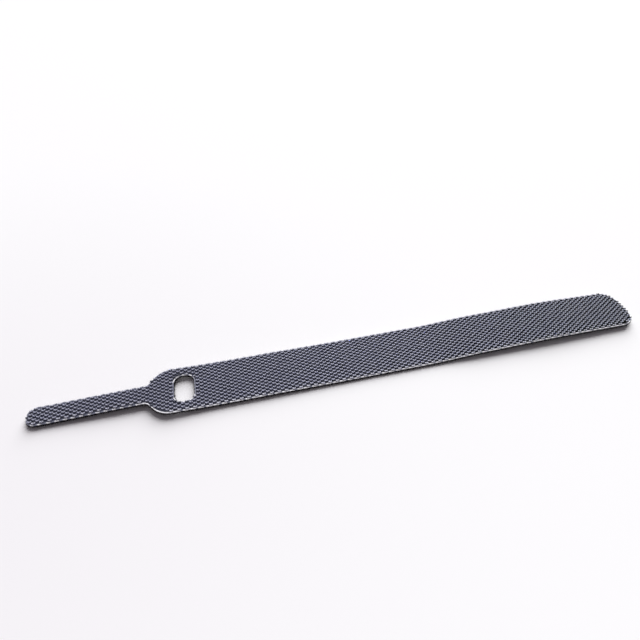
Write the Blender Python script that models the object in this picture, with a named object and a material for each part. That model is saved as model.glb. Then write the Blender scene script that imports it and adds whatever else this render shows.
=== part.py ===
"""Hook and loop cable tie, lying on a table with its hook side up.

Two sheets are bonded back to back and cut to one outline: moulded hook film on top, black loop
fabric below. X runs along the tie with the tongue at -X, Y runs across it, Z is up from the table.
"""

import math

import bmesh
import bpy
from mathutils import Matrix, Vector

MM = 0.001

# Outline of the tie, seen from above
TIE_LENGTH = 150.0 * MM
BAND_WIDTH = 12.0 * MM
BAND_END_RADIUS = 4.2 * MM
TONGUE_LENGTH = 25.7 * MM
TONGUE_WIDTH = 4.7 * MM
TONGUE_TIP_RADIUS = 2.1 * MM
TONGUE_ROOT_RADIUS = 1.5 * MM
SHOULDER_SLOPE = math.radians(50.0)
SHOULDER_RADIUS = 5.0 * MM

# Slot that the tongue is threaded through: its width follows the tongue's
SLOT_FROM_TONGUE = 6.0 * MM
SLOT_LENGTH = 4.7 * MM
SLOT_SIDE_CLEARANCE = 1.25 * MM
SLOT_CORNER_RADIUS = 2.0 * MM

# Thickness of the two sheets and of the bond between them
LOOP_THICKNESS = 0.50 * MM
BOND_GAP = 0.04 * MM
FILM_THICKNESS = 0.28 * MM

# Hooks stand in rows along the tie, and each row is half a pitch out of step with the next
HOOK_HEIGHT = 0.46 * MM
HOOK_PITCH = 1.72 * MM
HOOK_ROW_STEP = 0.4725 * MM

# The loop fabric is knitted in courses that show as low ribs across the tie
RIB_PITCH = 1.20 * MM
RIB_GROOVE_WIDTH = 0.36 * MM
RIB_GROOVE_DEPTH = 0.10 * MM

# The tie isn't quite flat: it touches the table at its middle and its ends stay a little lifted.
# The wide end is twisted a little too: its far side (+Y) comes down and its near side goes up.
REST_LENGTH = 17.0 * MM
REST_FROM_MIDDLE = 9.0 * MM
TIP_LIFT = 0.30 * MM
TONGUE_ROOT_LIFT = 0.80 * MM
EASE_FROM_TONGUE = 20.0 * MM
EASE_LIFT = 0.28 * MM
CREASE_FROM_REST = 15.5 * MM
CREASE_LIFT = 0.75 * MM
CREST_FROM_CREASE = 17.0 * MM
CREST_LIFT = 1.05 * MM
END_LIFT = 0.40 * MM
END_TWIST = 0.05

# How finely curves are drawn
ARC_STEP = math.radians(12.0)
BEND_STEP = 4.0 * MM
TWIST_STRIPS = 3
WELD_DISTANCE = 0.002 * MM

# Sizes that follow from the ones above
TIP_X = -TIE_LENGTH / 2
END_X = TIE_LENGTH / 2
TONGUE_ROOT_X = TIP_X + TONGUE_LENGTH
SHOULDER_X = TONGUE_ROOT_X + (BAND_WIDTH - TONGUE_WIDTH) / 2 / math.tan(SHOULDER_SLOPE)
SLOT_WIDTH = TONGUE_WIDTH + 2 * SLOT_SIDE_CLEARANCE
FILM_BOTTOM = LOOP_THICKNESS + BOND_GAP
FILM_TOP = FILM_BOTTOM + FILM_THICKNESS
HOOK_TOP = FILM_TOP + HOOK_HEIGHT


def clear_scene():
    for scene_object in list(bpy.data.objects):
        bpy.data.objects.remove(scene_object, do_unlink=True)


def new_collection(name):
    collection = bpy.data.collections.new(name)
    bpy.context.scene.collection.children.link(collection)
    return collection


def new_material(name, color, roughness, specular):
    material = bpy.data.materials.new(name)
    material.use_nodes = True
    shader = material.node_tree.nodes["Principled BSDF"]
    shader.inputs["Base Color"].default_value = (*color, 1.0)
    shader.inputs["Roughness"].default_value = roughness
    shader.inputs["Specular IOR Level"].default_value = specular
    shader.inputs["Metallic"].default_value = 0.0
    material.diffuse_color = (*color, 1.0)
    return material


def rounded(corners):
    """The closed outline through the corners (x, y, radius), each turned into an arc."""
    outline = []
    for index, (x, y, radius) in enumerate(corners):
        corner = Vector((x, y))
        to_last = Vector(corners[index - 1][:2]) - corner
        to_next = Vector(corners[(index + 1) % len(corners)][:2]) - corner
        half_angle = to_last.angle(to_next) / 2
        # A fillet takes at most half of each side that it joins
        reach = min(radius / math.tan(half_angle), 0.49 * min(to_last.length, to_next.length))
        turn = math.pi - 2 * half_angle
        inward = (to_last.normalized() + to_next.normalized()).normalized()
        centre = corner + inward * reach / math.cos(half_angle)
        start = corner + to_last.normalized() * reach - centre
        side = math.copysign(1.0, to_last.cross(to_next))
        steps = max(2, math.ceil(turn / ARC_STEP))
        for step in range(steps + 1):
            outline.append(centre + Matrix.Rotation(-side * turn * step / steps, 2) @ start)
    return outline


def tie_outline():
    """The tie's edge, anticlockwise: the far half from the wide end to the tongue, then its mirror."""
    far_half = [
        (END_X, BAND_WIDTH / 2, BAND_END_RADIUS),
        (SHOULDER_X, BAND_WIDTH / 2, SHOULDER_RADIUS),
        (TONGUE_ROOT_X, TONGUE_WIDTH / 2, TONGUE_ROOT_RADIUS),
        (TIP_X, TONGUE_WIDTH / 2, TONGUE_TIP_RADIUS),
    ]
    near_half = [(x, -y, radius) for x, y, radius in reversed(far_half)]
    return rounded(far_half + near_half)


def slot_outline():
    left = TONGUE_ROOT_X + SLOT_FROM_TONGUE
    right = left + SLOT_LENGTH
    half = SLOT_WIDTH / 2
    corners = [(right, half), (left, half), (left, -half), (right, -half)]
    return rounded([(x, y, SLOT_CORNER_RADIUS) for x, y in corners])


def extruded(name, outlines, depth, turn, place):
    """A mesh object of a flat outline with its holes, extruded to a depth and put in its place."""
    curve = bpy.data.curves.new(name, "CURVE")
    curve.dimensions = "2D"
    curve.fill_mode = "BOTH"
    curve.extrude = depth / 2
    for outline in outlines:
        spline = curve.splines.new("POLY")
        spline.points.add(len(outline) - 1)
        for point, (x, y) in zip(spline.points, outline):
            point.co = (x, y, 0.0, 1.0)
        spline.use_cyclic_u = True
    drawing = bpy.data.objects.new(name + "_drawing", curve)
    drawing.rotation_euler = turn
    drawing.location = place
    bpy.context.scene.collection.objects.link(drawing)
    bpy.context.view_layer.update()
    graph = bpy.context.evaluated_depsgraph_get()
    mesh = bpy.data.meshes.new_from_object(drawing.evaluated_get(graph))
    mesh.transform(drawing.matrix_world)
    bpy.data.objects.remove(drawing, do_unlink=True)
    welded = bmesh.new()
    welded.from_mesh(mesh)
    bmesh.ops.remove_doubles(welded, verts=welded.verts, dist=WELD_DISTANCE)
    bmesh.ops.recalc_face_normals(welded, faces=welded.faces)
    welded.to_mesh(mesh)
    welded.free()
    mesh.name = name
    return bpy.data.objects.new(name, mesh)


def cutting_die():
    """The shape that the tie is cut to, slot included, through both sheets."""
    depth = 4 * HOOK_TOP
    middle = Vector((0.0, 0.0, HOOK_TOP / 2))
    return extruded("cutting_die", [tie_outline(), slot_outline()], depth, (0.0, 0.0, 0.0), middle)


def hook_film_stock():
    """Hook film before it is cut: a slab whose top is a diamond lattice with a hook on each diamond."""
    half_long = HOOK_PITCH / 2
    half_wide = HOOK_ROW_STEP
    most_x = TIE_LENGTH / 2 + HOOK_PITCH
    most_y = BAND_WIDTH / 2 + 2 * HOOK_ROW_STEP
    cells = 2 * math.ceil(most_x / half_long / 2 + most_y / half_wide / 2)
    stock = bmesh.new()
    # A square grid with sides of one, turned by 45 degrees and stretched, is the lattice of diamonds
    bmesh.ops.create_grid(stock, x_segments=cells, y_segments=cells, size=cells / 2)
    stretch = Matrix.Diagonal((half_long * math.sqrt(2), half_wide * math.sqrt(2), 1.0, 1.0))
    stock.transform(stretch @ Matrix.Rotation(math.radians(45.0), 4, "Z"))
    unused = []
    for face in stock.faces:
        middle = face.calc_center_median()
        if abs(middle.x) > most_x or abs(middle.y) > most_y:
            unused.append(face)
    bmesh.ops.delete(stock, geom=unused, context="FACES")
    bmesh.ops.poke(stock, faces=stock.faces, offset=HOOK_HEIGHT)
    rim = [edge for edge in stock.edges if edge.is_boundary]
    skirt = bmesh.ops.extrude_edge_only(stock, edges=rim)["geom"]
    lower_rim = [part for part in skirt if isinstance(part, bmesh.types.BMVert)]
    bmesh.ops.translate(stock, verts=lower_rim, vec=(0.0, 0.0, -FILM_THICKNESS))
    bmesh.ops.holes_fill(stock, edges=[edge for edge in stock.edges if edge.is_boundary])
    bmesh.ops.recalc_face_normals(stock, faces=stock.faces)
    stock.transform(Matrix.Translation((0.0, 0.0, FILM_TOP)))
    mesh = bpy.data.meshes.new("hook_film_stock")
    stock.to_mesh(mesh)
    stock.free()
    return bpy.data.objects.new("hook_film_stock", mesh)


def loop_fabric_stock():
    """Loop fabric before it is cut: a slab with a groove between each two ribs of its underside."""
    ribs = math.ceil(TIE_LENGTH / 2 / RIB_PITCH) + 1
    profile = []
    for number in range(-ribs, ribs):
        groove = (number + 0.5) * RIB_PITCH
        profile.append((groove - RIB_GROOVE_WIDTH / 2, 0.0))
        profile.append((groove, RIB_GROOVE_DEPTH))
        profile.append((groove + RIB_GROOVE_WIDTH / 2, 0.0))
    last = ribs * RIB_PITCH
    profile += [(last, 0.0), (last, LOOP_THICKNESS), (-last, LOOP_THICKNESS), (-last, 0.0)]
    upright = (math.radians(90.0), 0.0, 0.0)
    return extruded("loop_fabric_stock", [profile], 2 * BAND_WIDTH, upright, (0.0, 0.0, 0.0))


def eased(value, low, high):
    """0 below low, 1 above high, and a smooth rise between them."""
    share = min(max((value - low) / (high - low), 0.0), 1.0)
    return (1 - math.cos(math.pi * share)) / 2


def lift(x, y):
    """How far the tie's underside is above the table, easing from one station to the next."""
    rest_end = REST_FROM_MIDDLE + REST_LENGTH / 2
    crease = rest_end + CREASE_FROM_REST
    crest = crease + CREST_FROM_CREASE
    stations = [
        (TIP_X, TIP_LIFT),
        (TONGUE_ROOT_X, TONGUE_ROOT_LIFT),
        (TONGUE_ROOT_X + EASE_FROM_TONGUE, EASE_LIFT),
        (REST_FROM_MIDDLE - REST_LENGTH / 2, 0.0),
        (rest_end, 0.0),
        (crease, CREASE_LIFT),
        (crest, CREST_LIFT),
        (END_X, END_LIFT),
    ]
    height = TIP_LIFT
    for (from_x, from_z), (to_x, to_z) in zip(stations, stations[1:]):
        height += (to_z - from_z) * eased(x, from_x, to_x)
    return height - y * END_TWIST * eased(x, crest, END_X)


def score(sheet, plain_side, place, direction):
    """Draws a line on the sheet's plain side and cut edge, where a plane passes through them."""
    faces = [face for face in sheet.faces if face.normal.z * plain_side > -0.1]
    edges = {edge for face in faces for edge in face.edges}
    verts = {vert for face in faces for vert in face.verts}
    bmesh.ops.bisect_plane(
        sheet,
        geom=[*verts, *edges, *faces],
        dist=WELD_DISTANCE,
        plane_co=place,
        plane_no=direction,
    )


def cut_sheet(name, stock, die, collection, material, plain_side):
    """Cuts a sheet of stock with the die and lays it along the tie's wave. The plain side is +1 or -1."""
    collection.objects.link(stock)
    cut = stock.modifiers.new("cut_to_outline", "BOOLEAN")
    cut.operation = "INTERSECT"
    cut.solver = "EXACT"
    cut.object = die
    bpy.context.view_layer.update()
    graph = bpy.context.evaluated_depsgraph_get()
    mesh = bpy.data.meshes.new_from_object(stock.evaluated_get(graph))
    bpy.data.objects.remove(stock, do_unlink=True)

    sheet = bmesh.new()
    sheet.from_mesh(mesh)
    bmesh.ops.remove_doubles(sheet, verts=sheet.verts, dist=WELD_DISTANCE)
    bmesh.ops.dissolve_degenerate(sheet, edges=sheet.edges, dist=WELD_DISTANCE)
    # The plain side and the cut edge have long faces, which need lines across and along them to bend
    steps = math.floor(TIE_LENGTH / 2 / BEND_STEP)
    for step in range(-steps, steps + 1):
        score(sheet, plain_side, (step * BEND_STEP, 0.0, 0.0), (1.0, 0.0, 0.0))
    for strip in range(1, TWIST_STRIPS):
        strip_edge = BAND_WIDTH * (strip / TWIST_STRIPS - 0.5)
        score(sheet, plain_side, (0.0, strip_edge, 0.0), (0.0, 1.0, 0.0))
    bmesh.ops.triangulate(sheet, faces=sheet.faces)
    for vert in sheet.verts:
        vert.co.z += lift(vert.co.x, vert.co.y)
    sheet.to_mesh(mesh)
    sheet.free()
    mesh.name = name
    mesh.materials.clear()
    mesh.materials.append(material)
    collection.objects.link(bpy.data.objects.new(name, mesh))


def main():
    clear_scene()
    tie = new_collection("hook_and_loop_cable_tie")
    cutters = new_collection("cutters")
    hook_film = new_material("moulded_hook_film", (0.075, 0.080, 0.100), 0.42, 0.5)
    loop_pile = new_material("black_loop_pile", (0.006, 0.006, 0.007), 0.95, 0.2)

    die = cutting_die()
    die.display_type = "WIRE"
    die.hide_render = True
    cutters.objects.link(die)

    cut_sheet("hook_sheet", hook_film_stock(), die, tie, hook_film, -1)
    cut_sheet("loop_fabric", loop_fabric_stock(), die, tie, loop_pile, +1)


main()
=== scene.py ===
# Hook and loop cable tie, lying hook side up on a pale table
# The film, its hooks, the loop fabric and its pile are made here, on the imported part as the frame
import math

import bmesh
import bpy
from mathutils import Matrix, Vector


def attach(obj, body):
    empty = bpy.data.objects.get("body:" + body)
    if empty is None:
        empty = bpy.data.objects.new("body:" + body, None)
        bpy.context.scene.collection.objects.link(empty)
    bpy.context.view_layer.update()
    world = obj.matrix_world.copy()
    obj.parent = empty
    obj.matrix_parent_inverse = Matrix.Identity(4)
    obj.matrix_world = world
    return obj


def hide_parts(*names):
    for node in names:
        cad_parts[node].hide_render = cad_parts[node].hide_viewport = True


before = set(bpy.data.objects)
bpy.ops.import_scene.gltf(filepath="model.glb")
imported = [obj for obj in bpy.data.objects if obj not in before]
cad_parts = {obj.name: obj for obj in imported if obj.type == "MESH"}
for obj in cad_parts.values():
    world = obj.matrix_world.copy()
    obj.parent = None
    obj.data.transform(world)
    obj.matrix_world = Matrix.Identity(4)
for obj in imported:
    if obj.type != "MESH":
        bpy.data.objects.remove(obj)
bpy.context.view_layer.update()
mm = 0.001
weldReach = 0.002  # points of a flat drawing that lie this close, in millimetres, are one

print("frame loaded")


# Helpers

def hexColor(code, alpha=1.0):
    # sRGB hex to the linear values that the shader works with
    shares = [int(code[start:start + 2], 16) / 255 for start in (1, 3, 5)]
    linear = [s / 12.92 if s <= 0.04045 else ((s + 0.055) / 1.055) ** 2.4 for s in shares]
    return (*linear, alpha)


def addNode(tree, kind, inputs=None, give=None, **settings):
    # one node with its settings; its inputs are values, hex colours, the sockets that feed them or a list
    # of those, and what comes back is the node, or the output that give names
    node = tree.nodes.new(kind)
    for name, value in settings.items():
        setattr(node, name, value)
    for name, value in (inputs or {}).items():
        for source in value if isinstance(value, list) else [value]:
            if isinstance(source, bpy.types.NodeSocket):
                tree.links.new(source, node.inputs[name])
            elif isinstance(source, str) and source.startswith("#"):
                node.inputs[name].default_value = hexColor(source)
            else:
                node.inputs[name].default_value = source
    return node if give is None else node.outputs[give]


def newObject(name, data):
    # an object of a mesh, a curve, a lamp or a camera, in the scene
    made = bpy.data.objects.new(name, data)
    bpy.context.scene.collection.objects.link(made)
    return made


def evaluatedMesh(source):
    # the result of an object's modifiers, as a plain mesh
    bpy.context.view_layer.update()
    graph = bpy.context.evaluated_depsgraph_get()
    return bpy.data.meshes.new_from_object(source.evaluated_get(graph))


def finishedMesh(work, name):
    # a bmesh turned to a mesh, once its work is done
    mesh = bpy.data.meshes.new(name)
    work.to_mesh(mesh)
    work.free()
    return mesh


# The tie's outline and wave, as in the part's source, in millimetres

tie = {
    "length": 150.0,
    "width": 12.0,
    "endRadius": 4.2,
    "tongueLength": 25.7,
    "tongueWidth": 4.7,
    "tongueTipRadius": 2.1,
    "tongueRootRadius": 1.5,
    "shoulderSlope": math.radians(50.0),
    "shoulderRadius": 5.0,
    "slotFromTongue": 6.0,
    "slotLength": 4.7,
    "slotWidth": 7.2,
    "slotRadius": 2.0,
    "arcStep": math.radians(6.0),
    "arcShare": 0.49,  # the most of a side that the arc at its end may take
    # how high the underside is above the table, from the tongue's tip to the wide end, as (x, height)
    "stations": [
        (-75.0, 0.30),
        (-49.3, 0.80),
        (-29.3, 0.28),
        (0.5, 0.0),
        (17.5, 0.0),
        (33.0, 0.75),
        (50.0, 1.05),
        (75.0, 0.40),
    ],
    "twistFrom": 50.0,
    "twist": 0.05,
}


def rounded(corners):
    # closed outline through the corners (x, y, radius), each turned into an arc
    outline = []
    for index, (x, y, radius) in enumerate(corners):
        corner = Vector((x, y))
        toLast = Vector(corners[index - 1][:2]) - corner
        toNext = Vector(corners[(index + 1) % len(corners)][:2]) - corner
        halfAngle = toLast.angle(toNext) / 2
        reach = min(radius / math.tan(halfAngle), tie["arcShare"] * min(toLast.length, toNext.length))
        turn = math.pi - 2 * halfAngle
        inward = (toLast.normalized() + toNext.normalized()).normalized()
        centre = corner + inward * reach / math.cos(halfAngle)
        start = corner + toLast.normalized() * reach - centre
        side = math.copysign(1.0, toLast.cross(toNext))
        count = max(2, math.ceil(turn / tie["arcStep"]))
        for number in range(count + 1):
            outline.append(centre + Matrix.Rotation(-side * turn * number / count, 2) @ start)
    return outline


def tieOutline():
    endX = tie["length"] / 2
    rootX = tie["tongueLength"] - endX
    halfBand = tie["width"] / 2
    halfTongue = tie["tongueWidth"] / 2
    shoulderX = rootX + (halfBand - halfTongue) / math.tan(tie["shoulderSlope"])
    farHalf = [
        (endX, halfBand, tie["endRadius"]),
        (shoulderX, halfBand, tie["shoulderRadius"]),
        (rootX, halfTongue, tie["tongueRootRadius"]),
        (-endX, halfTongue, tie["tongueTipRadius"]),
    ]
    nearHalf = [(x, -y, radius) for x, y, radius in reversed(farHalf)]
    return rounded(farHalf + nearHalf)


def slotOutline():
    left = tie["tongueLength"] - tie["length"] / 2 + tie["slotFromTongue"]
    right = left + tie["slotLength"]
    half = tie["slotWidth"] / 2
    corners = [(right, half), (left, half), (left, -half), (right, -half)]
    return rounded([(x, y, tie["slotRadius"]) for x, y in corners])


def eased(value, low, high):
    # rises from 0 to 1 between low and high, level at both
    share = min(max((value - low) / (high - low), 0.0), 1.0)
    return (1 - math.cos(math.pi * share)) / 2


def lift(x, y):
    # the underside's height above the table
    stations = tie["stations"]
    height = stations[0][1]
    for (fromX, fromZ), (toX, toZ) in zip(stations, stations[1:]):
        height += (toZ - fromZ) * eased(x, fromX, toX)
    return height - y * tie["twist"] * eased(x, tie["twistFrom"], tie["length"] / 2)


def layAlongWave(work):
    # millimetres on the flat to metres on the table
    for vert in work.verts:
        vert.co.z += lift(vert.co.x, vert.co.y)
        vert.co *= mm


def slab(outlines, low, high):
    # a closed slab of a flat outline with its holes
    curve = bpy.data.curves.new("slabDrawing", "CURVE")
    curve.dimensions = "2D"
    curve.fill_mode = "BOTH"
    curve.extrude = (high - low) / 2
    for outline in outlines:
        spline = curve.splines.new("POLY")
        spline.points.add(len(outline) - 1)
        for point, (x, y) in zip(spline.points, outline):
            point.co = (x, y, 0.0, 1.0)
        spline.use_cyclic_u = True
    drawing = newObject("slabDrawing", curve)
    mesh = evaluatedMesh(drawing)
    bpy.data.objects.remove(drawing, do_unlink=True)
    work = bmesh.new()
    work.from_mesh(mesh)
    bpy.data.meshes.remove(mesh)
    bmesh.ops.remove_doubles(work, verts=work.verts, dist=weldReach)
    bmesh.ops.translate(work, verts=work.verts, vec=(0.0, 0.0, (low + high) / 2))
    bmesh.ops.recalc_face_normals(work, faces=work.faces)
    return work


def scoreLines(work, axis, places):
    # lines right through a mesh, across one axis and in rising order, so that it can bend there
    direction = Vector((0.0, 0.0, 0.0))
    direction[axis] = 1.0
    ahead = list(work.faces)
    for place in places:
        ahead = [face for face in ahead if max(vert.co[axis] for vert in face.verts) > place]
        edges = {edge for face in ahead for edge in face.edges}
        verts = {vert for face in ahead for vert in face.verts}
        cut = bmesh.ops.bisect_plane(work, geom=[*verts, *edges, *ahead], dist=weldReach,
                                     plane_co=direction * place, plane_no=direction)
        ahead = [part for part in cut["geom"] if isinstance(part, bmesh.types.BMFace)]


def steps(low, high, step):
    # places from low to high, a step apart
    return [low + step * number for number in range(int(round((high - low) / step)) + 1)]


# Materials

def newMaterial(name, color, roughness, **sockets):
    # a plain shader's material, its further sockets named with an underscore for a space
    material = bpy.data.materials.new(name)
    material.use_nodes = True
    shader = material.node_tree.nodes["Principled BSDF"]
    shader.inputs["Base Color"].default_value = hexColor(color)
    shader.inputs["Roughness"].default_value = roughness
    for socket, value in sockets.items():
        shader.inputs[socket.replace("_", " ")].default_value = value
    return material, material.node_tree, shader


hook = {
    # lattice: hooks a pitch apart in a row, each second row half a pitch out of step
    "pitch": 1.72,
    "rowStep": 0.4725,
    # thick at the foot and thin at the tips, pale from armFrom outwards and less so on the stem: painted
    # light on the arms and painted shade on the stem
    "thickness": 0.38,
    "tipThickness": 0.22,
    "armFrom": 0.30,
    "stemShare": 0.85,
    "height": 0.46,
    "sharpFrom": math.radians(60.0),
    # at the die's wall: whole where its reach to every side is inside, lost where its middle is nearer to
    # the wall than foot, and pressed down more and more from wallReach to the wall
    "reach": (0.44, 0.24, 0.0),
    "foot": 0.15,
    "wallReach": 0.6,
    "pressed": 0.85,
    # how far the uncut stock goes past the outline, and the die above and below the table
    "stockMargin": 2.0,
    "dieReach": 10.0,
    # the lattice looks down from this height, this far
    "rayFrom": 50.0,
    "rayLength": 200.0,
    "lean": math.radians(5.0),
    "seed": 7,
    # right half of the profile, from the foot round the arm to the notch, as (x, z)
    "profile": [
        (0.13, -0.03),
        (0.10, 0.04),
        (0.15, 0.11),
        (0.22, 0.18),
        (0.29, 0.20),
        (0.36, 0.23),
        (0.41, 0.32),
        (0.39, 0.42),
        (0.31, 0.46),
        (0.21, 0.42),
        (0.10, 0.32),
        (0.0, 0.23),
    ],
}

plastic = {
    # each pair runs from the tongue to the wide end: there the head is paler, a painted highlight, and the
    # film and foot are near black, painted shade
    "film": ("#4e505e", "#050609"),
    "foot": ("#525462", "#06070b"),
    "hook": ("#9a9bac", "#d0d3e5"),
    # the shares of a hook's height between which the painted shade of its foot turns to the paler colour of
    # its head
    "footShadeFrom": (0.0, 0.4),
    "footShadeTo": (0.17, 0.82),
    # the places along the tie between which the pairs change
    "from": -50.0,
    "to": 64.0,
    # a painted highlight on the hooks beside the cut, and how much of it
    "edgeHighlight": "#f0f0f6",
    "edgeHighlightShare": 0.6,
    "glow": 0.7,
    "glowDepth": 0.2,
    "roughness": 0.4,
    "specular": 0.06,
    "filmRoughness": 0.7,
    "filmSpecular": 0.02,
    "mouldLine": 0.12,
    "mouldStretch": (0.05, 1.0, 1.0),
    "mouldBump": 0.3,
    "mouldDepth": 0.03,
    # the die's cut: dark to pale over cutSpan, in patches, with what each place adds or takes
    "cutDark": "#6c6e80",
    "cutPaleAndHighlight": "#f2f2f7",
    "cutRoughness": 0.55,
    "cutSpan": (0.9, 1.7),
    "cutPatch": 1.3,
    "patchDetail": 3.0,
    "patchWeight": 4.0,
    "shoulder": -46.5,
    "shoulderReach": 5.0,
    "shoulderWhole": 1.5,
    "slotMiddle": (-40.95, 0.0, 1.0),
    "slotReach": (3.4, 2.8),
    "slotSideDark": 2.0,
    "tongueRoot": (-49.0, -52.0),
    "tongueWorn": 0.9,
}


def alongTie(tree, low=0.0, high=1.0):
    # a value that rises from the tongue to the wide end
    place = addNode(tree, "ShaderNodeTexCoord", give="Object")
    along = addNode(tree, "ShaderNodeSeparateXYZ", {0: place}, give="X")
    return addNode(tree, "ShaderNodeMapRange", {
        "Value": along, "From Min": plastic["from"] * mm, "From Max": plastic["to"] * mm,
        "To Min": low, "To Max": high,
    }, give=0)


def blended(tree, share, first, second):
    # from the first colour to the second as share rises from 0 to 1, by the mix node's colour sockets
    return addNode(tree, "ShaderNodeMix", {"Factor": share, 6: first, 7: second}, give=2, data_type="RGBA")


def hookNylon():
    # moulded nylon, slate grey and satin, and so thin in the hooks that light from behind comes through
    material, tree, shader = newMaterial(
        "hookNylon", plastic["hook"][0], plastic["roughness"], Specular_IOR_Level=plastic["specular"],
        Subsurface_Weight=plastic["glow"], Subsurface_Radius=(1.0, 1.0, 1.0),
        Subsurface_Scale=plastic["glowDepth"] * mm)
    # towards the wide end the head's painted highlight and the foot's painted shade grow
    share = alongTie(tree)
    # the foot's colour is painted shade between the hooks, and the head's paler colour is painted light
    foot = blended(tree, share, *plastic["foot"])
    head = blended(tree, share, *plastic["hook"])
    height = addNode(tree, "ShaderNodeAttribute", give="Fac", attribute_name="tipShare")
    shadeToLight = addNode(tree, "ShaderNodeMapRange", {
        "Value": height, "From Min": alongTie(tree, *plastic["footShadeFrom"]),
        "From Max": alongTie(tree, *plastic["footShadeTo"]),
    }, give=0)
    # the hooks beside the cut are painted paler, a painted highlight
    atWall = addNode(tree, "ShaderNodeAttribute", give="Fac", attribute_name="nearWall")
    edgeHighlightShare = addNode(tree, "ShaderNodeMath", {0: atWall, 1: plastic["edgeHighlightShare"]}, give=0, operation="MULTIPLY")
    head = blended(tree, edgeHighlightShare, head, plastic["edgeHighlight"])
    tree.links.new(blended(tree, shadeToLight, foot, head), shader.inputs["Base Color"])
    return material


def filmNylon():
    # the same nylon rolled flat between the hooks, dark over the black knit and near black towards the wide
    # end as painted shade between the hooks, with the mould's fine lines
    material, tree, shader = newMaterial("filmNylon", plastic["film"][0], plastic["filmRoughness"],
                                         Specular_IOR_Level=plastic["filmSpecular"])
    tree.links.new(blended(tree, alongTie(tree), *plastic["film"]), shader.inputs["Base Color"])
    place = addNode(tree, "ShaderNodeTexCoord", give="Object")
    place = addNode(tree, "ShaderNodeMapping", {"Vector": place, "Scale": plastic["mouldStretch"]}, give=0)
    lines = addNode(tree, "ShaderNodeTexNoise", {
        "Vector": place, "Scale": 1 / (plastic["mouldLine"] * mm),
    }, give=0)
    bump = addNode(tree, "ShaderNodeBump", {
        "Strength": plastic["mouldBump"], "Distance": plastic["mouldDepth"] * mm, "Height": lines,
    }, give=0)
    tree.links.new(bump, shader.inputs["Normal"])
    return material


def cutNylon():
    # nylon whitened by the die where it was sheared, and pale beyond that as a painted highlight of the light
    # the cut edge catches; paler and darker in turn at the hook pitch
    material, tree, shader = newMaterial("cutNylon", plastic["cutPaleAndHighlight"], plastic["cutRoughness"])
    place = addNode(tree, "ShaderNodeTexCoord", give="Object")
    along = addNode(tree, "ShaderNodeSeparateXYZ", {0: place}, give="X")
    turn = addNode(tree, "ShaderNodeMath", {0: along, 1: math.tau / (hook["pitch"] * mm)}, give=0,
                   operation="MULTIPLY")
    beside = addNode(tree, "ShaderNodeMath", {0: turn}, give=0, operation="SINE")
    patch = addNode(tree, "ShaderNodeTexNoise", {
        "Vector": place, "Scale": 1 / (plastic["cutPatch"] * mm), "Detail": plastic["patchDetail"],
    }, give=0)
    pale = addNode(tree, "ShaderNodeMath", {0: patch, 1: plastic["patchWeight"], 2: beside}, give=0,
                   operation="MULTIPLY_ADD")
    # on the curve of the shoulder the line is whole
    far = addNode(tree, "ShaderNodeMath", {0: along, 1: plastic["shoulder"] * mm}, give=0,
                  operation="SUBTRACT")
    far = addNode(tree, "ShaderNodeMath", {0: far}, give=0, operation="ABSOLUTE")
    whole = addNode(tree, "ShaderNodeMapRange", {
        "Value": far, "From Min": plastic["shoulderReach"] * mm, "From Max": 0.0,
        "To Max": plastic["shoulderWhole"],
    }, give=0)
    pale = addNode(tree, "ShaderNodeMath", {0: pale, 1: whole}, give=0, operation="ADD")
    # on the tongue it is worn, and white only in places
    worn = addNode(tree, "ShaderNodeMapRange", {
        "Value": along, "From Min": plastic["tongueRoot"][0] * mm, "From Max": plastic["tongueRoot"][1] * mm,
        "To Max": plastic["tongueWorn"],
    }, give=0)
    pale = addNode(tree, "ShaderNodeMath", {0: pale, 1: worn}, give=0, operation="SUBTRACT")
    # the cut is darker on the slot's sides and pale only at its ends
    middle = tuple(side * mm for side in plastic["slotMiddle"])
    away = addNode(tree, "ShaderNodeVectorMath", {0: place, 1: middle}, give="Value", operation="DISTANCE")
    sideDark = addNode(tree, "ShaderNodeMapRange", {
        "Value": away, "From Min": plastic["slotReach"][0] * mm, "From Max": plastic["slotReach"][1] * mm,
        "To Max": plastic["slotSideDark"],
    }, give=0)
    pale = addNode(tree, "ShaderNodeMath", {0: pale, 1: sideDark}, give=0, operation="SUBTRACT")
    share = addNode(tree, "ShaderNodeMapRange", {
        "Value": pale, "From Min": plastic["cutSpan"][0], "From Max": plastic["cutSpan"][1],
    }, give=0)
    tree.links.new(blended(tree, share, plastic["cutDark"], plastic["cutPaleAndHighlight"]), shader.inputs["Base Color"])
    return material


yarn = {
    # the ground and its small stitches, then the loops
    "knit": "#060607",
    "knitRoughness": 0.9,
    "knitSpecular": 0.0,
    "stitch": 0.25,
    "stitchBump": 0.6,
    "stitchDepth": 0.08,
    "loop": "#141418",
    "loopRoughness": 0.5,
    "loopSpecular": 0.3,
}


def knitBlack():
    # black knitted polyester ground, matt, with the grain of its small stitches
    material, tree, shader = newMaterial("knitBlack", yarn["knit"], yarn["knitRoughness"],
                                         Specular_IOR_Level=yarn["knitSpecular"])
    place = addNode(tree, "ShaderNodeTexCoord", give="Object")
    stitches = addNode(tree, "ShaderNodeTexNoise", {
        "Vector": place, "Scale": 1 / (yarn["stitch"] * mm),
    }, give=0)
    bump = addNode(tree, "ShaderNodeBump", {
        "Strength": yarn["stitchBump"], "Distance": yarn["stitchDepth"] * mm, "Height": stitches,
    }, give=0)
    tree.links.new(bump, shader.inputs["Normal"])
    return material


def pileBlack():
    # black polyester filaments: each loop has a faint gleam, the pile as a whole is deep black
    return newMaterial("pileBlack", yarn["loop"], yarn["loopRoughness"],
                       Specular_IOR_Level=yarn["loopSpecular"])[0]


hookMaterial = hookNylon()
filmMaterial = filmNylon()
cutMaterial = cutNylon()
knitMaterial = knitBlack()
pileMaterial = pileBlack()
print("materials made")


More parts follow.
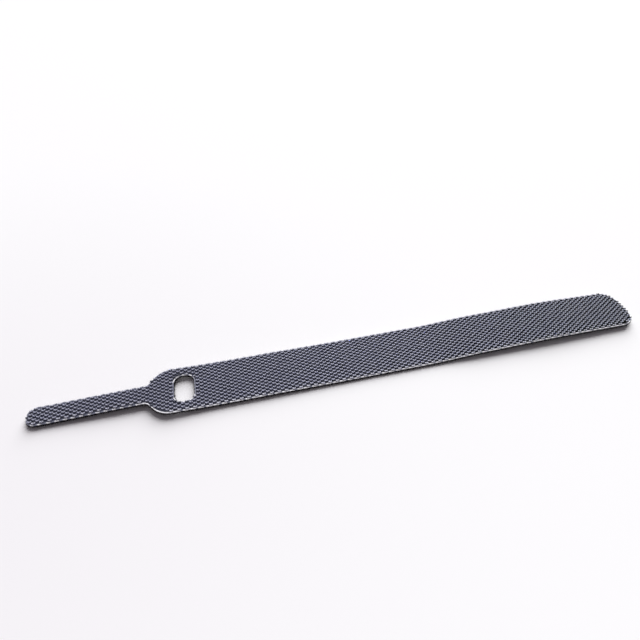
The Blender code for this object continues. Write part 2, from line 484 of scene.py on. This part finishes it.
# Film: the moulded sheet that the hooks stand on, with the pale edge that the die left and a painted
# highlight on it

film = {
    "bottom": 0.54,
    "top": 0.82,
    "margin": 0.22,
    "burr": 0.03,
    "bendStep": 2.0,
    "stripStep": 3.0,
    # how much of a face's normal is upright on the flat faces, and on the walls
    "flatFrom": 0.9,
    "wallTo": 0.1,
    "sharpFrom": math.radians(30.0),
}


def makeFilm():
    # the top and underside are plain film, and the walls and a narrow margin are the cut
    work = slab([tieOutline(), slotOutline()], film["bottom"], film["top"])
    upper = [face for face in work.faces if face.normal.z > film["flatFrom"]]
    inset = bmesh.ops.inset_region(work, faces=upper, thickness=film["margin"], use_even_offset=True)
    margin = inset["faces"]
    for face in work.faces:
        face.material_index = 0 if abs(face.normal.z) > film["flatFrom"] else 1
    for face in margin:
        face.material_index = 1
    # the die pushes a fine burr up along its cut
    rim = {
        vert for face in margin for vert in face.verts
        if any(abs(beside.normal.z) < film["wallTo"] for beside in vert.link_faces)
    }
    bmesh.ops.translate(work, verts=list(rim), vec=(0.0, 0.0, film["burr"]))
    half = tie["length"] / 2
    scoreLines(work, 0, steps(film["bendStep"] - half, half - film["bendStep"], film["bendStep"]))
    side = tie["width"] / 2
    scoreLines(work, 1, steps(film["stripStep"] - side, side - film["stripStep"], film["stripStep"]))
    layAlongWave(work)
    mesh = finishedMesh(work, "hookFilm")
    mesh.shade_smooth()
    mesh.set_sharp_from_angle(angle=film["sharpFrom"])
    mesh.materials.append(filmMaterial)
    mesh.materials.append(cutMaterial)
    return newObject("hookFilm", mesh)


hookFilm = makeFilm()
print("film made,", len(hookFilm.data.polygons), "faces")


# Hooks: two arms that part from one stem, moulded in flat rings, so that their sides are flat

def makeHookShape():
    right = hook["profile"]
    left = [(-x, z) for x, z in reversed(right[:-1])]
    outline = right + left
    work = bmesh.new()
    rings = []
    for side in (-1, 1):
        ring = []
        for x, z in outline:
            share = max(z, 0.0) / hook["height"]
            half = (hook["thickness"] * (1 - share) + hook["tipThickness"] * share) / 2
            ring.append(work.verts.new((x * mm, side * half * mm, z * mm)))
        rings.append(ring)
    work.faces.new(rings[0])
    work.faces.new(list(reversed(rings[1])))
    for index in range(len(outline)):
        after = (index + 1) % len(outline)
        work.faces.new((rings[0][index], rings[1][index], rings[1][after], rings[0][after]))
    bmesh.ops.recalc_face_normals(work, faces=work.faces)
    # how far out on its arms a point is: the stem is thick and painted dark as shade, and the arms are thin,
    # let some light through and are painted pale as light
    shares = work.verts.layers.float.new("tipShare")
    for vert in work.verts:
        x, z = abs(vert.co.x) / mm, max(vert.co.z, 0.0) / mm
        onArm = min(x / hook["armFrom"], 1.0)
        vert[shares] = z / hook["height"] * (hook["stemShare"] + (1 - hook["stemShare"]) * onArm)
    mesh = finishedMesh(work, "hookShape")
    mesh.shade_smooth()
    mesh.set_sharp_from_angle(angle=hook["sharpFrom"])
    made = newObject("hookShape", mesh)
    made.hide_render = True
    return made


def makeStock():
    # the whole width of film before it is cut, which carries the hooks
    half = tie["length"] / 2 + hook["stockMargin"]
    side = tie["width"] / 2 + hook["stockMargin"]
    work = bmesh.new()
    columns = int(2 * half)
    rows = int(side)
    bmesh.ops.create_grid(work, x_segments=columns, y_segments=rows, size=1.0)
    for vert in work.verts:
        vert.co = Vector((vert.co.x * half, vert.co.y * side, film["top"]))
    layAlongWave(work)
    return newObject("hookStock", finishedMesh(work, "hookStock"))


def makeDie():
    # the outline and the slot as a tall solid, which the hooks are cut by
    work = slab([tieOutline(), slotOutline()], -hook["dieReach"], hook["dieReach"])
    bmesh.ops.scale(work, verts=work.verts, vec=(mm, mm, mm))
    made = newObject("cuttingDie", finishedMesh(work, "cuttingDie"))
    made.hide_render = True
    return made


def newTree(name, sockets):
    # a tree that takes and gives geometry, its inputs' sockets, and their identifiers by name
    tree = bpy.data.node_groups.new(name, "GeometryNodeTree")
    tree.interface.new_socket("Geometry", in_out="INPUT", socket_type="NodeSocketGeometry")
    tree.interface.new_socket("Geometry", in_out="OUTPUT", socket_type="NodeSocketGeometry")
    identifiers = {}
    for label, kind in sockets:
        made = tree.interface.new_socket(label, in_out="INPUT", socket_type="NodeSocket" + kind)
        identifiers[label] = made.identifier
    entry = addNode(tree, "NodeGroupInput")
    return tree, entry.outputs, identifiers


def finishTree(tree, geometry, material):
    # what the tree gives: real faces in one material
    plain = addNode(tree, "GeometryNodeRealizeInstances", {0: geometry}, give=0)
    dressed = addNode(tree, "GeometryNodeSetMaterial", {0: plain, "Material": material}, give=0)
    addNode(tree, "NodeGroupOutput", {0: dressed})


def hookFieldTree():
    tree, given, identifiers = newTree("hookFieldTree", [
        ("Hook", "Object"),
        ("Die", "Object"),
        ("Pitch", "Float"),
        ("Row Step", "Float"),
        ("Columns", "Int"),
        ("Rows", "Int"),
        ("Reach", "Vector"),
        ("Foot", "Float"),
        ("Wall Reach", "Float"),
        ("Pressed", "Float"),
        ("Lean", "Float"),
        ("Seed", "Int"),
        ("Material", "Material"),
    ])
    shape = addNode(tree, "GeometryNodeObjectInfo", {"Object": given["Hook"]}, give="Geometry")
    die = addNode(tree, "GeometryNodeObjectInfo", {"Object": given["Die"]}, give="Geometry")

    # lattice: columns a pitch apart, each second row half a pitch out of step
    spans = []
    for count, gap in ((given["Columns"], given["Pitch"]), (given["Rows"], given["Row Step"])):
        gaps = addNode(tree, "ShaderNodeMath", {0: count, 1: 1.0}, give=0, operation="SUBTRACT")
        spans.append(addNode(tree, "ShaderNodeMath", {0: gaps, 1: gap}, give=0, operation="MULTIPLY"))
    grid = addNode(tree, "GeometryNodeMeshGrid", {
        "Size X": spans[0], "Size Y": spans[1], "Vertices X": given["Columns"], "Vertices Y": given["Rows"],
    }, give="Mesh")
    position = addNode(tree, "GeometryNodeInputPosition", give=0)
    parts = addNode(tree, "ShaderNodeSeparateXYZ", {0: position}).outputs
    row = addNode(tree, "ShaderNodeMath", {0: parts["Y"], 1: given["Row Step"]}, give=0, operation="DIVIDE")
    row = addNode(tree, "ShaderNodeMath", {0: row}, give=0, operation="ROUND")
    odd = addNode(tree, "ShaderNodeMath", {0: row, 1: 2.0}, give=0, operation="FLOORED_MODULO")
    half = addNode(tree, "ShaderNodeMath", {0: given["Pitch"], 1: 0.5}, give=0, operation="MULTIPLY")
    staggered = addNode(tree, "ShaderNodeMath", {0: odd, 1: half, 2: parts["X"]}, give=0,
                        operation="MULTIPLY_ADD")
    high = addNode(tree, "ShaderNodeCombineXYZ", {
        "X": staggered, "Y": parts["Y"], "Z": hook["rayFrom"] * mm,
    }, give=0)
    lattice = addNode(tree, "GeometryNodeSetPosition", {"Geometry": grid, "Position": high}, give=0)

    # a hook stays where its foot is inside the die, and is whole where its corners are inside too
    down = {"Ray Direction": (0.0, 0.0, -1.0), "Ray Length": hook["rayLength"] * mm}
    place = addNode(tree, "GeometryNodeInputPosition", give=0)
    inside = []
    for side in ((0, 0, 0), (1, 1, 0), (1, -1, 0), (-1, 1, 0), (-1, -1, 0)):
        away = addNode(tree, "ShaderNodeVectorMath", {0: given["Reach"], 1: side}, give=0,
                       operation="MULTIPLY")
        corner = addNode(tree, "ShaderNodeVectorMath", {0: place, 1: away}, give=0, operation="ADD")
        inside.append(addNode(tree, "GeometryNodeRaycast", {
            "Target Geometry": die, "Source Position": corner, **down,
        }, give="Is Hit"))
    whole = inside[1]
    for corner in inside[2:]:
        whole = addNode(tree, "FunctionNodeBooleanMath", {0: whole, 1: corner}, give=0, operation="AND")
    clipped = addNode(tree, "FunctionNodeBooleanMath", {0: whole}, give=0, operation="NOT")

    # how near the wall it stands, from nothing to one at the wall itself
    spot = addNode(tree, "ShaderNodeSeparateXYZ", {0: place}).outputs
    level = addNode(tree, "ShaderNodeCombineXYZ", {"X": spot["X"], "Y": spot["Y"]}, give=0)
    wall = addNode(tree, "GeometryNodeProximity", {"Geometry": die, "Sample Position": level},
                   give="Distance", target_element="FACES")
    crowded = addNode(tree, "FunctionNodeCompare", {0: wall, 1: given["Foot"]}, give=0, data_type="FLOAT",
                      operation="LESS_THAN")
    outside = addNode(tree, "FunctionNodeBooleanMath", {0: inside[0]}, give=0, operation="NOT")
    lost = addNode(tree, "FunctionNodeBooleanMath", {0: crowded, 1: outside}, give=0, operation="OR")
    near = addNode(tree, "ShaderNodeMapRange", {
        "Value": wall, "From Max": given["Wall Reach"], "To Min": 1.0, "To Max": 0.0,
    }, give=0)
    points = lattice
    for name, value, kind in (("cutOff", clipped, "BOOLEAN"), ("nearWall", near, "FLOAT")):
        points = addNode(tree, "GeometryNodeStoreNamedAttribute", {
            "Geometry": points, "Name": name, "Value": value,
        }, give=0, data_type=kind, domain="POINT")
    points = addNode(tree, "GeometryNodeDeleteGeometry", {"Geometry": points, "Selection": lost}, give=0,
                     domain="POINT")
    # and where it comes down on the stock
    ground = addNode(tree, "GeometryNodeRaycast", {"Target Geometry": given["Geometry"], **down}).outputs
    facing = addNode(tree, "FunctionNodeAlignRotationToVector", {"Vector": ground["Hit Normal"]}, give=0,
                     axis="Z")
    points = addNode(tree, "GeometryNodeStoreNamedAttribute", {
        "Geometry": points, "Name": "facing", "Value": facing,
    }, give=0, data_type="QUATERNION", domain="POINT")
    points = addNode(tree, "GeometryNodeSetPosition", {
        "Geometry": points, "Position": ground["Hit Position"],
    }, give=0)

    # no two hooks come out of the mould quite alike, and the die presses down those beside the cut
    most = addNode(tree, "ShaderNodeCombineXYZ", {name: given["Lean"] for name in "XYZ"}, give=0)
    least = addNode(tree, "ShaderNodeVectorMath", {0: most, "Scale": -1.0}, give=0, operation="SCALE")
    lean = addNode(tree, "FunctionNodeRandomValue", {
        "Min": least, "Max": most, "Seed": given["Seed"],
    }, give=0, data_type="FLOAT_VECTOR")
    upright = addNode(tree, "GeometryNodeInputNamedAttribute", {"Name": "facing"}, give=0,
                      data_type="QUATERNION")
    turned = addNode(tree, "FunctionNodeRotateRotation", {"Rotation": upright, "Rotate By": lean}, give=0,
                     rotation_space="LOCAL")
    nearWall = addNode(tree, "GeometryNodeInputNamedAttribute", {"Name": "nearWall"}, give=0,
                       data_type="FLOAT")
    loss = addNode(tree, "ShaderNodeMath", {0: nearWall, 1: nearWall}, give=0, operation="MULTIPLY")
    loss = addNode(tree, "ShaderNodeMath", {0: loss, 1: given["Pressed"]}, give=0, operation="MULTIPLY")
    kept = addNode(tree, "ShaderNodeMath", {0: 1.0, 1: loss}, give=0, operation="SUBTRACT")
    size = addNode(tree, "ShaderNodeCombineXYZ", {"X": 1.0, "Y": 1.0, "Z": kept}, give=0)
    cutOff = addNode(tree, "GeometryNodeInputNamedAttribute", {"Name": "cutOff"}, give=0,
                     data_type="BOOLEAN")
    uncut = addNode(tree, "FunctionNodeBooleanMath", {0: cutOff}, give=0, operation="NOT")
    fields = []
    for selection in (uncut, cutOff):
        stood = addNode(tree, "GeometryNodeInstanceOnPoints", {
            "Points": points, "Selection": selection, "Instance": shape, "Rotation": turned, "Scale": size,
        }, give=0)
        fields.append(addNode(tree, "GeometryNodeRealizeInstances", {0: stood}, give=0))

    # hooks at the wall are cut off by the die
    cut = addNode(tree, "GeometryNodeMeshBoolean", {"Mesh 2": [fields[1], die]}, give=0,
                  operation="INTERSECT", solver="EXACT")
    joined = addNode(tree, "GeometryNodeJoinGeometry", {0: [fields[0], cut]}, give=0)
    finishTree(tree, joined, given["Material"])
    return tree, identifiers


def grown(source, tree, identifiers, values):
    # the plain mesh that a tree makes on an object
    modifier = source.modifiers.new("growing", "NODES")
    modifier.node_group = tree
    for label, value in values.items():
        modifier[identifiers[label]] = value
    source.update_tag()
    mesh = evaluatedMesh(source)
    source.modifiers.remove(modifier)
    return mesh


def makeHookField():
    shape = makeHookShape()
    stock = makeStock()
    die = makeDie()
    tree, identifiers = hookFieldTree()
    # an even number of columns and an odd one of rows, enough to pass the outline on every side
    columns = 2 * math.ceil(tie["length"] / hook["pitch"] / 2) + 2
    rows = 2 * math.ceil(tie["width"] / hook["rowStep"] / 2) + 1
    mesh = grown(stock, tree, identifiers, {
        "Hook": shape,
        "Die": die,
        "Pitch": hook["pitch"] * mm,
        "Row Step": hook["rowStep"] * mm,
        "Columns": columns,
        "Rows": rows,
        "Reach": [side * mm for side in hook["reach"]],
        "Foot": hook["foot"] * mm,
        "Wall Reach": hook["wallReach"] * mm,
        "Pressed": hook["pressed"],
        "Lean": hook["lean"],
        "Seed": hook["seed"],
        "Material": hookMaterial,
    })
    for unused in (shape, stock, die):
        bpy.data.objects.remove(unused, do_unlink=True)
    mesh.name = "hookField"
    return newObject("hookField", mesh)


hookField = makeHookField()
print("hooks made,", len(hookField.data.polygons), "faces")


# Loop fabric: the knitted ground, ribbed across, and the pile of loops on its underside

fabric = {
    "top": 0.53,
    "ground": 0.22,
    "ribPitch": 1.2,
    "ribDepth": 0.08,
    "ribStep": 0.3,
    "stripStep": 4.0,
}


def makeFabric():
    work = slab([tieOutline(), slotOutline()], fabric["ground"], fabric["top"])
    half = tie["length"] / 2
    side = tie["width"] / 2
    scoreLines(work, 1, steps(fabric["stripStep"] - side, side - fabric["stripStep"], fabric["stripStep"]))
    scoreLines(work, 0, steps(fabric["ribStep"] - half, half - fabric["ribStep"], fabric["ribStep"]))
    for vert in work.verts:
        if vert.co.z < (fabric["ground"] + fabric["top"]) / 2:
            groove = math.cos(math.tau * vert.co.x / fabric["ribPitch"])
            vert.co.z -= fabric["ribDepth"] * groove / 2
    layAlongWave(work)
    mesh = finishedMesh(work, "loopFabric")
    mesh.materials.append(knitMaterial)
    return newObject("loopFabric", mesh)


loopFabric = makeFabric()
print("fabric made,", len(loopFabric.data.polygons), "faces")


# Pile: fine loops all over the underside, and cut ends of filament along the edge

pile = {
    # strands to the square millimetre
    "density": 9.0,
    "loopWidth": 0.30,
    "loopHeight": 0.165,
    # between its two roots the loop goes through these shares of its half width and its height
    "arch": [(-0.9, 0.6), (-0.35, 1.0), (0.45, 0.93), (0.9, 0.5)],
    "root": 0.03,
    "filament": 0.022,
    # it grows where this much of a face's normal is upright, so underneath and not on the sides
    "facing": (-1.1, -0.5),
    "lean": math.radians(28.0),
    "least": 0.75,
    "seed": 11,
    # from x to x, a piece for each
    "bays": ((-75.1, -18.0), (-18.0, 27.0), (27.0, 75.1)),
}

fuzz = {
    "density": 75.0,
    "length": 0.32,
    # from its root a cut end goes through these shares of its length, out and up
    "stray": [(0.12, 0.5), (0.4, 1.0)],
    "filament": 0.024,
    "facing": (-0.5, 0.5),
    "lean": math.radians(35.0),
    "least": 0.5,
    "seed": 23,
}


def makeStrand(name, points, radius):
    # a filament along a few points (x, z) in millimetres, three-sided and closed at both ends
    sides = 3
    work = bmesh.new()
    rings = []
    for index, (x, z) in enumerate(points):
        before = Vector(points[max(index - 1, 0)])
        after = Vector(points[min(index + 1, len(points) - 1)])
        along = (after - before).normalized()
        out = Vector((-along.y, along.x))
        ring = []
        for corner in range(sides):
            turn = math.tau * corner / sides
            across = out * math.cos(turn) * radius
            spot = ((x + across.x) * mm, math.sin(turn) * radius * mm, (z + across.y) * mm)
            ring.append(work.verts.new(spot))
        rings.append(ring)
    for ring, nextRing in zip(rings, rings[1:]):
        for corner in range(sides):
            after = (corner + 1) % sides
            work.faces.new((ring[corner], ring[after], nextRing[after], nextRing[corner]))
    work.faces.new(rings[0])
    work.faces.new(list(reversed(rings[-1])))
    bmesh.ops.recalc_face_normals(work, faces=work.faces)
    mesh = finishedMesh(work, name)
    mesh.shade_smooth()
    made = newObject(name, mesh)
    made.hide_render = True
    return made


def strandTree():
    tree, given, identifiers = newTree("strandTree", [
        ("Strand", "Object"),
        ("Density", "Float"),
        ("From X", "Float"),
        ("To X", "Float"),
        ("Facing From", "Float"),
        ("Facing To", "Float"),
        ("Lean", "Float"),
        ("Least", "Float"),
        ("Seed", "Int"),
        ("Material", "Material"),
    ])
    shape = addNode(tree, "GeometryNodeObjectInfo", {"Object": given["Strand"]}, give="Geometry")
    place = addNode(tree, "GeometryNodeInputPosition", give=0)
    along = addNode(tree, "ShaderNodeSeparateXYZ", {0: place}, give="X")
    normal = addNode(tree, "GeometryNodeInputNormal", give=0)
    facing = addNode(tree, "ShaderNodeSeparateXYZ", {0: normal}, give="Z")
    # strands root on the faces of one bay that face the right way
    chosen = True
    limits = ((along, given["From X"], given["To X"]), (facing, given["Facing From"], given["Facing To"]))
    for value, low, high in limits:
        for limit, operation in ((low, "GREATER_THAN"), (high, "LESS_EQUAL")):
            within = addNode(tree, "FunctionNodeCompare", {0: value, 1: limit}, give=0, data_type="FLOAT",
                             operation=operation)
            chosen = addNode(tree, "FunctionNodeBooleanMath", {0: chosen, 1: within}, give=0, operation="AND")
    rooted = addNode(tree, "GeometryNodeDistributePointsOnFaces", {
        "Mesh": given["Geometry"], "Selection": chosen, "Density": given["Density"], "Seed": given["Seed"],
    }).outputs
    # each leans a little to any side, is turned any way round and differs in size, for which 2 and 3 are
    # the sockets of a plain number's range
    back = addNode(tree, "ShaderNodeMath", {0: given["Lean"], 1: -1.0}, give=0, operation="MULTIPLY")
    least = addNode(tree, "ShaderNodeCombineXYZ", {"X": back, "Y": back}, give=0)
    most = addNode(tree, "ShaderNodeCombineXYZ", {
        "X": given["Lean"], "Y": given["Lean"], "Z": math.tau,
    }, give=0)
    lean = addNode(tree, "FunctionNodeRandomValue", {
        "Min": least, "Max": most, "Seed": given["Seed"],
    }, give=0, data_type="FLOAT_VECTOR")
    upright = addNode(tree, "FunctionNodeAlignRotationToVector", {"Vector": rooted["Normal"]}, give=0,
                      axis="Z")
    turned = addNode(tree, "FunctionNodeRotateRotation", {"Rotation": upright, "Rotate By": lean}, give=0,
                     rotation_space="LOCAL")
    size = addNode(tree, "FunctionNodeRandomValue", {
        2: given["Least"], 3: 1.0, "Seed": given["Seed"],
    }, give=1, data_type="FLOAT")
    strands = addNode(tree, "GeometryNodeInstanceOnPoints", {
        "Points": rooted["Points"], "Instance": shape, "Rotation": turned, "Scale": size,
    }, give=0)
    finishTree(tree, strands, given["Material"])
    return tree, identifiers


def makePile():
    half = pile["loopWidth"] / 2
    arch = [(half * x, pile["loopHeight"] * z) for x, z in pile["arch"]]
    arch = [(-half, -pile["root"]), *arch, (half, -pile["root"])]
    stray = [(fuzz["length"] * x, fuzz["length"] * z) for x, z in fuzz["stray"]]
    stray = [(0.0, -pile["root"]), *stray]
    loop = makeStrand("pileLoop", arch, pile["filament"])
    end = makeStrand("cutEnd", stray, fuzz["filament"])
    tree, identifiers = strandTree()
    # the loops in their bays, and the cut ends over the whole length
    crops = [
        ("loopPile_" + str(number), pile, loop, bay, pile["seed"] + number, pileMaterial)
        for number, bay in enumerate(pile["bays"], 1)
    ]
    whole = (pile["bays"][0][0], pile["bays"][-1][1])
    crops.append(("edgeFuzz", fuzz, end, whole, fuzz["seed"], knitMaterial))
    made = []
    for name, kind, strand, (fromX, toX), seed, material in crops:
        mesh = grown(loopFabric, tree, identifiers, {
            "Strand": strand,
            "Density": kind["density"] / mm ** 2,
            "From X": fromX * mm,
            "To X": toX * mm,
            "Facing From": kind["facing"][0],
            "Facing To": kind["facing"][1],
            "Lean": kind["lean"],
            "Least": kind["least"],
            "Seed": seed,
            "Material": material,
        })
        made.append(newObject(name, mesh))
    for unused in (loop, end):
        bpy.data.objects.remove(unused, do_unlink=True)
    return made


pilePieces = makePile()
for piece in pilePieces:
    print(piece.name, "made,", len(piece.data.polygons), "faces")


# Hand-over of the pieces to the frame

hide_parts("hook_sheet")
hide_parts("hook_sheet")
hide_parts("loop_fabric")
for slotName, pieces in (("hook_film", [hookFilm, hookField]), ("loop_pile", [loopFabric, *pilePieces])):
    for piece in pieces:
        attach(piece, "root")


# Table, light and camera

studio = {
    "floorSize": 1.5,
    "floor": "#fafafb",
    "floorMiddle": "#f1eff2",
    "floorRoughness": 0.8,
    "floorSpecular": 0.1,
    # where the floor is greyest and how far off it is pale again, in metres
    "middle": (-0.11, -0.03, 0.0),
    "middleReach": 0.16,
    "keyStrength": 4.5,
    "keyAngle": math.radians(60.0),
    "keyTurn": (math.radians(-52.5), 0.0, math.radians(-25.0)),
    "sky": 0.157,
    "skyColor": "#fff6ff",
    "backdrop": 1.0,
    "backdropColor": "#ffffff",
}

view = {
    # as worked out from the tie's edges and hooks, in millimetres, with pitch and turn of its axis
    "place": (-24.12, -63.72, 90.03),
    "pitch": math.radians(48.2),
    "turn": math.radians(-13.428),
    "roll": math.radians(0.331),
    "focalPixels": 455.44,
    "imagePixels": 640,
    "sensor": 36.0,
    "nearest": 5.0,
}


def makeFloor():
    work = bmesh.new()
    bmesh.ops.create_grid(work, x_segments=1, y_segments=1, size=studio["floorSize"])
    mesh = finishedMesh(work, "tableTop")
    # matt white card, a touch greyer where the light falls off at the tongue's side
    material, tree, shader = newMaterial("paleTable", studio["floor"], studio["floorRoughness"],
                                         Specular_IOR_Level=studio["floorSpecular"])
    place = addNode(tree, "ShaderNodeTexCoord", give="Object")
    away = addNode(tree, "ShaderNodeVectorMath", {0: place, 1: studio["middle"]}, give="Value",
                   operation="DISTANCE")
    share = addNode(tree, "ShaderNodeMapRange", {"Value": away, "From Max": studio["middleReach"]}, give=0,
                    interpolation_type="SMOOTHSTEP")
    tree.links.new(blended(tree, share, studio["floorMiddle"], studio["floor"]), shader.inputs["Base Color"])
    mesh.materials.append(material)
    floor = newObject("tableTop", mesh)


def makeLight():
    sun = bpy.data.lights.new("keyLight", "SUN")
    sun.energy = studio["keyStrength"]
    sun.angle = studio["keyAngle"]
    key = newObject("keyLight", sun)
    key.rotation_euler = studio["keyTurn"]
    world = bpy.data.worlds.new("studioWorld")
    world.use_nodes = True
    bpy.context.scene.world = world
    # the sky lights the tie softly, and is plain white where it is seen or mirrored
    tree = world.node_tree
    background = tree.nodes["Background"]
    rays = addNode(tree, "ShaderNodeLightPath").outputs
    seen = addNode(tree, "ShaderNodeMath", {0: rays["Is Camera Ray"], 1: rays["Is Glossy Ray"]}, give=0,
                   operation="MAXIMUM")
    seen = addNode(tree, "ShaderNodeMath", {0: seen, 1: rays["Is Transmission Ray"]}, give=0,
                   operation="MAXIMUM")
    level = addNode(tree, "ShaderNodeMapRange", {
        "Value": seen, "To Min": studio["sky"], "To Max": studio["backdrop"],
    }, give=0)
    tree.links.new(level, background.inputs["Strength"])
    color = blended(tree, seen, studio["skyColor"], studio["backdropColor"])
    tree.links.new(color, background.inputs["Color"])


def makeCamera():
    lens = bpy.data.cameras.new("camera")
    lens.sensor_width = view["sensor"]
    lens.lens = view["sensor"] * view["focalPixels"] / view["imagePixels"]
    lens.clip_start = view["nearest"] * mm
    camera = newObject("camera", lens)
    aim = Matrix.Rotation(view["turn"], 3, "Z") @ Matrix.Rotation(math.pi / 2 - view["pitch"], 3, "X")
    aim = aim @ Matrix.Rotation(view["roll"], 3, "Z")
    camera.rotation_euler = aim.to_euler()
    camera.location = Vector(view["place"]) * mm
    bpy.context.scene.camera = camera


makeFloor()
makeLight()
makeCamera()
bpy.context.scene.view_settings.view_transform = "Standard"
print("table, light and camera set")

bpy.context.view_layer.update()
